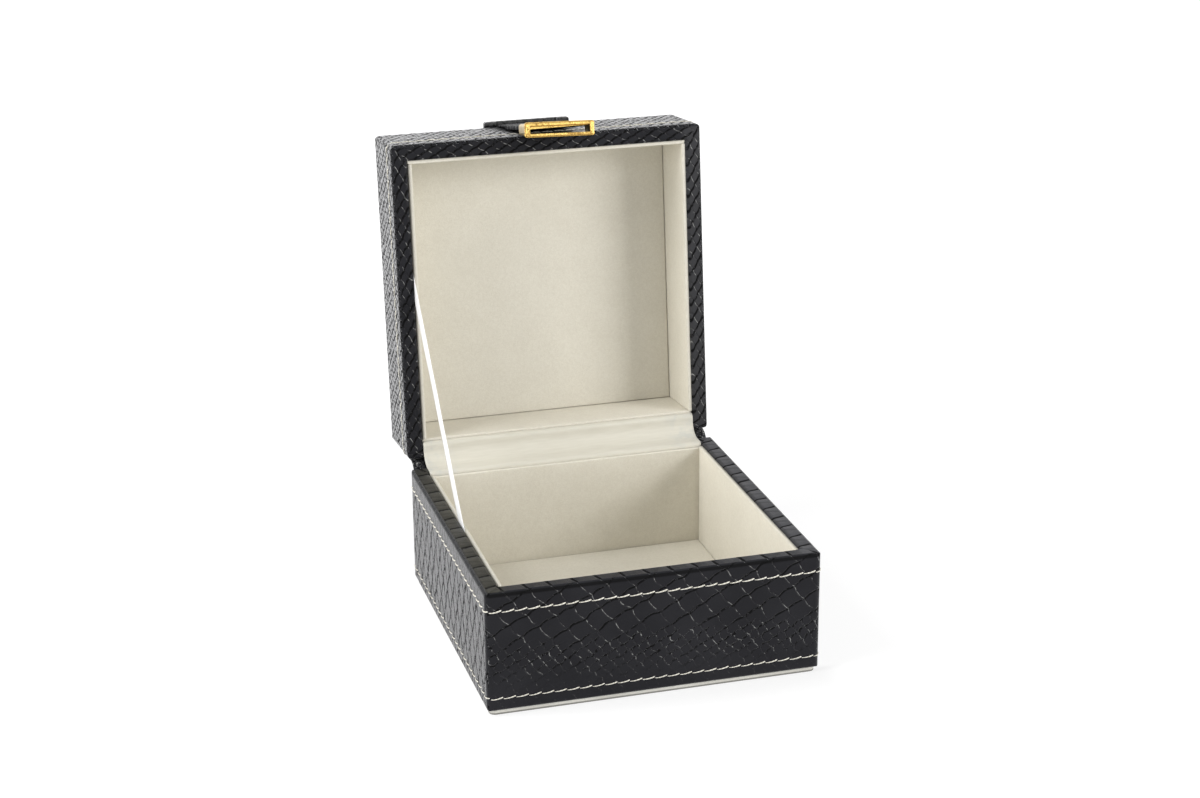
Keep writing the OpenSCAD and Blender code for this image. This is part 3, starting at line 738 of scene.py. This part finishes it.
def stitches(name, z, body, matrix=None, over_spine=True, flip=1.0, gauge=0.285):
    """A row of stitches all round: each runs low from its thin end and climbs to its thick one."""
    at, total = along(square_path(z))
    count = round(total / STITCH)
    step = total / count
    rnd = random.Random(len(name) * 31 + int(z))
    verts, faces, uv = [], [], []
    sides, rings = 8, 12
    for k in range(count):
        s0 = k * step
        tilt0, tilt1 = rnd.uniform(-0.05, 0.05), rnd.uniform(-0.06, 0.06)
        climb = 0.56 * rnd.uniform(0.88, 1.1)
        thick = gauge * rnd.uniform(0.94, 1.06)
        start = len(verts)
        for i in range(rings + 1):
            f = i / rings
            p, d = at(s0 + step * (-0.03 + 1.09 * f))
            out = Vector((d.y, -d.x, 0)).normalized()
            on_spine = over_spine and p.y > HALF - 0.5 and abs(p.x) < SPINE_HALF - 0.2
            proud = math.sin(math.pi * f ** 0.8) ** 0.5 * (0.75 + 0.25 * f)
            height = -0.30 + 0.58 * proud + (SPINE_T + 0.02 if on_spine else 0.0)
            rise = flip * (climb * f ** 2.0 - 0.28)
            c = p + out * height + Z * (rise + tilt0 * (1 - f) + tilt1 * f)
            slim = thick * (0.48 + 0.56 * f) * (1 - 0.35 * max(0, f - 0.88) / 0.12)
            for m in range(sides):
                a = 2 * math.pi * m / sides
                verts.append(c + out * (math.cos(a) * slim * 0.9) + Z * (math.sin(a) * slim))
                uv.append((s0 + step * f, a * thick))
        for i in range(rings):
            for m in range(sides):
                a, b = start + i * sides + m, start + i * sides + (m + 1) % sides
                faces.append((a, b, b + sides, a + sides))
        faces.append(tuple(start + m for m in reversed(range(sides))))
        faces.append(tuple(start + rings * sides + m for m in range(sides)))
    build(name, verts, faces, M_THREAD, body, matrix, uv)


stitches("stitch_base_upper", RIM - 6.2, "base")
stitches("stitch_base_lower", COVER + 4.5, "base", over_spine=False, gauge=0.235)
stitches("stitch_lid", LID_RIM + 6.7, "lid", LID, flip=-1.0)


# ---------------------------------------------------------------- sheets
def slab_faces(rows, cols, flip=False):
    """Faces of a slab of rows by cols points in two layers: flats, then sides, then ends.

    flip turns them over, and puts the sides of each row straight after its flats.
    """
    n, last = rows * cols, (rows - 1) * cols
    flats, sides, ends = [], [], []
    for row in range(0, last, cols):
        for a in range(row, row + cols - 1):
            flats.append((a, a + 1, a + cols + 1, a + cols))
            flats.append((n + a, n + a + cols, n + a + cols + 1, n + a + 1))
        b = row + cols - 1
        pair = [(row, row + cols, n + row + cols, n + row), (b, n + b, n + b + cols, b + cols)]
        (flats if flip else sides).extend(pair)
    for j in range(cols - 1):
        k = last + j
        ends += [(j, n + j, n + j + 1, j + 1), (k, k + 1, n + k + 1, n + k)]
    faces = flats + sides + ends
    return [(f[0],) + f[:0:-1] for f in faces] if flip else faces


def sheet_mesh(profile, half_w, t, across, sag=None):
    """A sheet along X on a profile of (y, z, normal y, normal z).

    Gives its points, faces, flat places and length.
    """
    s = [0.0]
    for a, b in zip(profile, profile[1:]):
        s.append(s[-1] + math.hypot(b[0] - a[0], b[1] - a[1]))
    verts, uv = [], []
    for k in (0.0, t):
        for d, (y, z, ny, nz) in zip(s, profile):
            for j in range(across + 1):
                x = (-1 + 2 * j / across) * half_w
                low = sag(x, d / s[-1]) if sag else 0.0
                verts.append((x, y + ny * k - low, z + nz * k + low))
                uv.append((x, d))
    return verts, slab_faces(len(profile), across + 1), uv, s[-1]


def arc(cy, cz, r, a, b, steps):
    """Points and inward normals round a bend in the YZ plane, angles in degrees."""
    out = []
    for i in range(steps + 1):
        t = math.radians(a + (b - a) * i / steps)
        out.append((cy + r * math.cos(t), cz + r * math.sin(t), -math.cos(t), -math.sin(t)))
    return out


COS, SIN = math.cos(OPEN), math.sin(OPEN)
corner = LID @ Vector((0, HALF, LID_RIM))       # the lid's lower back edge

# leather spine: up the base's back, round the bend and up the lid's
cy = HALF + GLUE + SPINE_R
cz = corner.z + ((cy - corner.y) * COS - SPINE_R - GLUE) / SIN
profile = [(cy - SPINE_R, RIM - SPINE_LAP + (cz - RIM + SPINE_LAP) * i / 6, 1, 0)
           for i in range(6)]
profile += arc(cy, cz, SPINE_R, 180, 180 - math.degrees(OPEN), 18)
y0, z0, ny, nz = profile[-1]
lid_up = Vector((0, SIN, COS))
run = SPINE_LAP - ((cy - corner.y) * SIN + (cz - corner.z) * COS)
profile += [(y0 + lid_up.y * run * i / 6, z0 + lid_up.z * run * i / 6, ny, nz)
            for i in range(1, 7)]
verts, faces, uv, length = sheet_mesh(profile, SPINE_HALF, SPINE_T, 24)
spine = build("hinge_spine_leather", verts, faces, M_SPINE, uv=uv)
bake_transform(spine)
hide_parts("hinge_spine")

# satin strip: over both rims and down to the linings. The rims' planes meet at strip_y.
to_rim = (corner.z - RIM) / SIN
strip_y = corner.y + COS * to_rim
reach = STRIP_R * math.tan((math.pi - OPEN) / 2)
half_turn = (180 - math.degrees(OPEN)) / 2


def strip_half(far):
    """Points and normals from the wall far away to the middle of the bend, in the rim's plane."""
    out = [(far + GLUE, -STRIP_DOWN, 1, 0), (far + GLUE, -RIM_R - 0.02, 1, 0)]
    for i in range(9):
        t = math.radians(90 * i / 8)
        out.append((far - RIM_R + (RIM_R + GLUE) * math.cos(t),
                    -RIM_R + (RIM_R + GLUE) * math.sin(t), math.cos(t), math.sin(t)))
    flat = far - RIM_R
    for i in range(1, 4):
        out.append((flat + (reach - flat) * i / 4, GLUE, 0, 1))
    for i in range(9):
        t = math.radians(270 - half_turn * i / 8)
        out.append((reach + (STRIP_R - GLUE) * math.cos(t),
                    STRIP_R + (STRIP_R - GLUE) * math.sin(t), -math.cos(t), -math.sin(t)))
    return out


def strip_sag(x, s):
    """How far the satin sinks into the corner, at a share s of its length."""
    mid = math.sin(math.pi * s) ** 2
    return abs(0.16 * mid * noise.noise(Vector((x * 0.07, s * 2, 4.0))))


profile = [(strip_y - a, RIM + b, -na, nb) for a, b, na, nb in strip_half(strip_y - INNER)]
profile += [(strip_y - COS * a - SIN * b, RIM + SIN * a - COS * b,
             -COS * na - SIN * nb, SIN * na - COS * nb)
            for a, b, na, nb in reversed(strip_half(to_rim + WALL)[:-1])]
verts, faces, uv, length = sheet_mesh(profile, INNER - 0.1, STRIP_T, 96, sag=strip_sag)
strip = build("hinge_strip_satin", verts, faces, M_SATIN, uv=uv)
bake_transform(strip)
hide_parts("hinge_strip")

# ---------------------------------------------------------------- stay ribbon
low = Vector((-(INNER - SLOT / 2), AXIS_Y - RIBBON_LOW, RIM))
high = LID @ Vector((low.x, AXIS_Y - RIBBON_HIGH, LID_RIM))
d = (high - low).normalized()
edge = d.cross(X).normalized()
span = (high - low).length
whole = span + 2 * RIBBON_END
steps, across = 60, 8
stations = [whole * i / steps - RIBBON_END for i in range(steps + 1)]
verts, uv = [], []
for face in (-1, 1):
    for s in stations:
        free = math.sin(math.pi * min(max(s / span, 0), 1))
        for j in range(across + 1):
            k = -1 + 2 * j / across
            x = 0.18 * free * noise.noise(Vector((s * 0.05, k, 2.0)))
            t = RIBBON_T / 2 * (1 - 0.5 * abs(k) ** 6)
            verts.append(low + d * s + edge * (k * RIBBON_HALF) + X * (x + face * t))
            uv.append((s, k * RIBBON_HALF))
ribbon = build("stay_ribbon_satin", verts, slab_faces(steps + 1, across + 1, flip=True),
               M_RIBBON, uv=uv)
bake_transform(ribbon)
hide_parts("stay_ribbon")

# ---------------------------------------------------------------- strap
# rows of (outer face's middle, outward, thickness), from the glued root, round the bend and
# down to the metal sleeve
turn3, strap3 = BEND.to_3x3(), STRAP.to_3x3()
rows = [(BEND @ Vector((0, ROOT * (1 - i / 8), BEND_R)), turn3 @ Z, FACE_T) for i in range(9)]
bend = math.pi / 2 - LIFT
for i in range(1, 13):
    t = math.pi / 2 + bend * i / 12
    d = Vector((0, math.cos(t), math.sin(t)))
    rows.append((BEND @ (d * BEND_R), turn3 @ d, FACE_T))
# the backing is laid on where there is room for it over the front wall
back_from = BACK_T / math.sin(LIFT - math.radians(1.5)) + 1
steps = 34
for i in range(1, steps + 1):
    s = STRAP_LEN * i / steps
    f = min(max((s - back_from) / 2.0 + 0.5, 0), 1)
    f = f * f * (3 - 2 * f)
    rows.append((STRAP @ Vector((0, -BEND_R, -s)), strap3 @ -Y, FACE_T + (BACK_T - 0.02) * f))
verts, faces, uv = [], [], []
sides = 36
s, last = 0.0, rows[0][0]
for c, out, thick in rows:
    out = out.normalized()
    s += (c - last).length
    last = c
    for k in range(sides):
        angle = 2 * math.pi * k / sides
        ca, sa = math.cos(angle), math.sin(angle)
        # a flat section with rounded edges
        ex = math.copysign(abs(ca) ** 0.16, ca) * STRAP_W / 2
        ez = math.copysign(abs(sa) ** 0.3, sa) * thick / 2
        wave = 0.03 * noise.noise(Vector((ex * 0.3, s * 0.3, 1.0)))
        verts.append(c + X * ex + out * (ez - thick / 2 - 0.02 + wave * (sa > 0)))
        uv.append((ex, s + 200))
for a in (i * sides for i in range(len(rows) - 1)):
    for k in range(sides):
        b = a + (k + 1) % sides
        faces.append((a + k, a + k + sides, b + sides, b))
faces.append(tuple(range(sides)))
faces.append(tuple((len(rows) - 1) * sides + k for k in reversed(range(sides))))
strap = build("clasp_strap_leather", verts, faces, M_STRAP, uv=uv)
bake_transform(strap)
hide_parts("strap_bend", "strap_face", "strap_backing")

# ---------------------------------------------------------------- floor and world, in metres
N = Nodes("floor_white")
place = N.new("ShaderNodeNewGeometry").outputs["Position"]
x, y, _ = N.xyz(place)
# a painted soft shadow before the front wall, which widens to the right
before = N.sub(-0.0545, y)
width = N.ramp(x, -0.06, 0.02, 0.005, 0.034, smooth=False)
near = N.mul(N.ramp(before, width, 0.0), N.ramp(before, -0.004, -0.001))
near = N.mul(near, N.mul(N.ramp(x, 0.066, 0.054), N.ramp(x, -0.062, -0.053)))
away = N.new("ShaderNodeVectorMath", operation="LENGTH")
N.link(place, away.inputs[0])
glow = N.madd(near, -0.11, N.ramp(away.outputs["Value"], 0.15, 0.5, 0.80, 1.0))
seen = N.shader("ShaderNodeAddShader", N.shader("ShaderNodeBsdfDiffuse", rgb(0.30)),
                N.shader("ShaderNodeEmission", rgb(1), glow))
N.link(N.shader("ShaderNodeMixShader", N.seen_ray(),
                N.shader("ShaderNodeBsdfDiffuse", rgb(0.9)), seen), N.out.inputs[0])
me = bpy.data.meshes.new("studio_floor")
me.from_pydata([(-4, -4, 0), (4, -4, 0), (4, 4, 0), (-4, 4, 0)], [], [(0, 1, 2, 3)])
me.materials.append(N.owner)
add_object("studio_floor", me)

N = Nodes("studio", world=True)
bpy.context.scene.world = N.owner
strength = N.ramp(N.seen_ray(), 0.0, 1.0, 0.36, 1.0, smooth=False)
N.link(N.shader("ShaderNodeBackground", rgb(1), strength), N.out.inputs[0])


# ---------------------------------------------------------------- lights
def area(name, at, size, power):
    """A soft lamp that faces the box."""
    data = bpy.data.lights.new(name, "AREA")
    data.shape = "RECTANGLE"
    data.size, data.size_y = size
    data.energy = power
    o = add_object(name, data)
    o.location = at
    o.rotation_euler = (Vector((0, 0, 0.06)) - Vector(at)).to_track_quat("-Z", "Y").to_euler()


area("key", (0.91, -0.77, 0.60), (0.6, 0.5), 9.3)
area("key_low", (0.99, -0.83, 0.19), (0.6, 0.25), 2.6)
area("side", (-0.96, -0.08, 0.92), (0.7, 0.7), 9.8)
area("side_low", (-1.28, -0.11, 0.28), (0.7, 0.4), 6.6)

# ---------------------------------------------------------------- camera
az, el, roll = math.radians(16.04), math.radians(19.77), math.radians(-0.42)
aim, distance = Vector((3.55, 20.0, 73.29)) * MM, 0.80068
look = Vector((math.sin(az) * math.cos(el), math.cos(az) * math.cos(el), -math.sin(el)))
level = Vector((math.cos(az), -math.sin(az), 0))
up = level.cross(look)
data = bpy.data.cameras.new("camera")
data.sensor_width = 36.0
data.sensor_fit = "HORIZONTAL"
data.lens = 71.576
data.clip_start = 0.01
data.clip_end = 50
camera = add_object("camera", data)
camera.matrix_world = basis(aim - look * distance, level * math.cos(roll) + up * math.sin(roll),
                            -level * math.sin(roll) + up * math.cos(roll), -look)
bpy.context.scene.camera = camera
bpy.context.scene.view_settings.view_transform = "Standard"
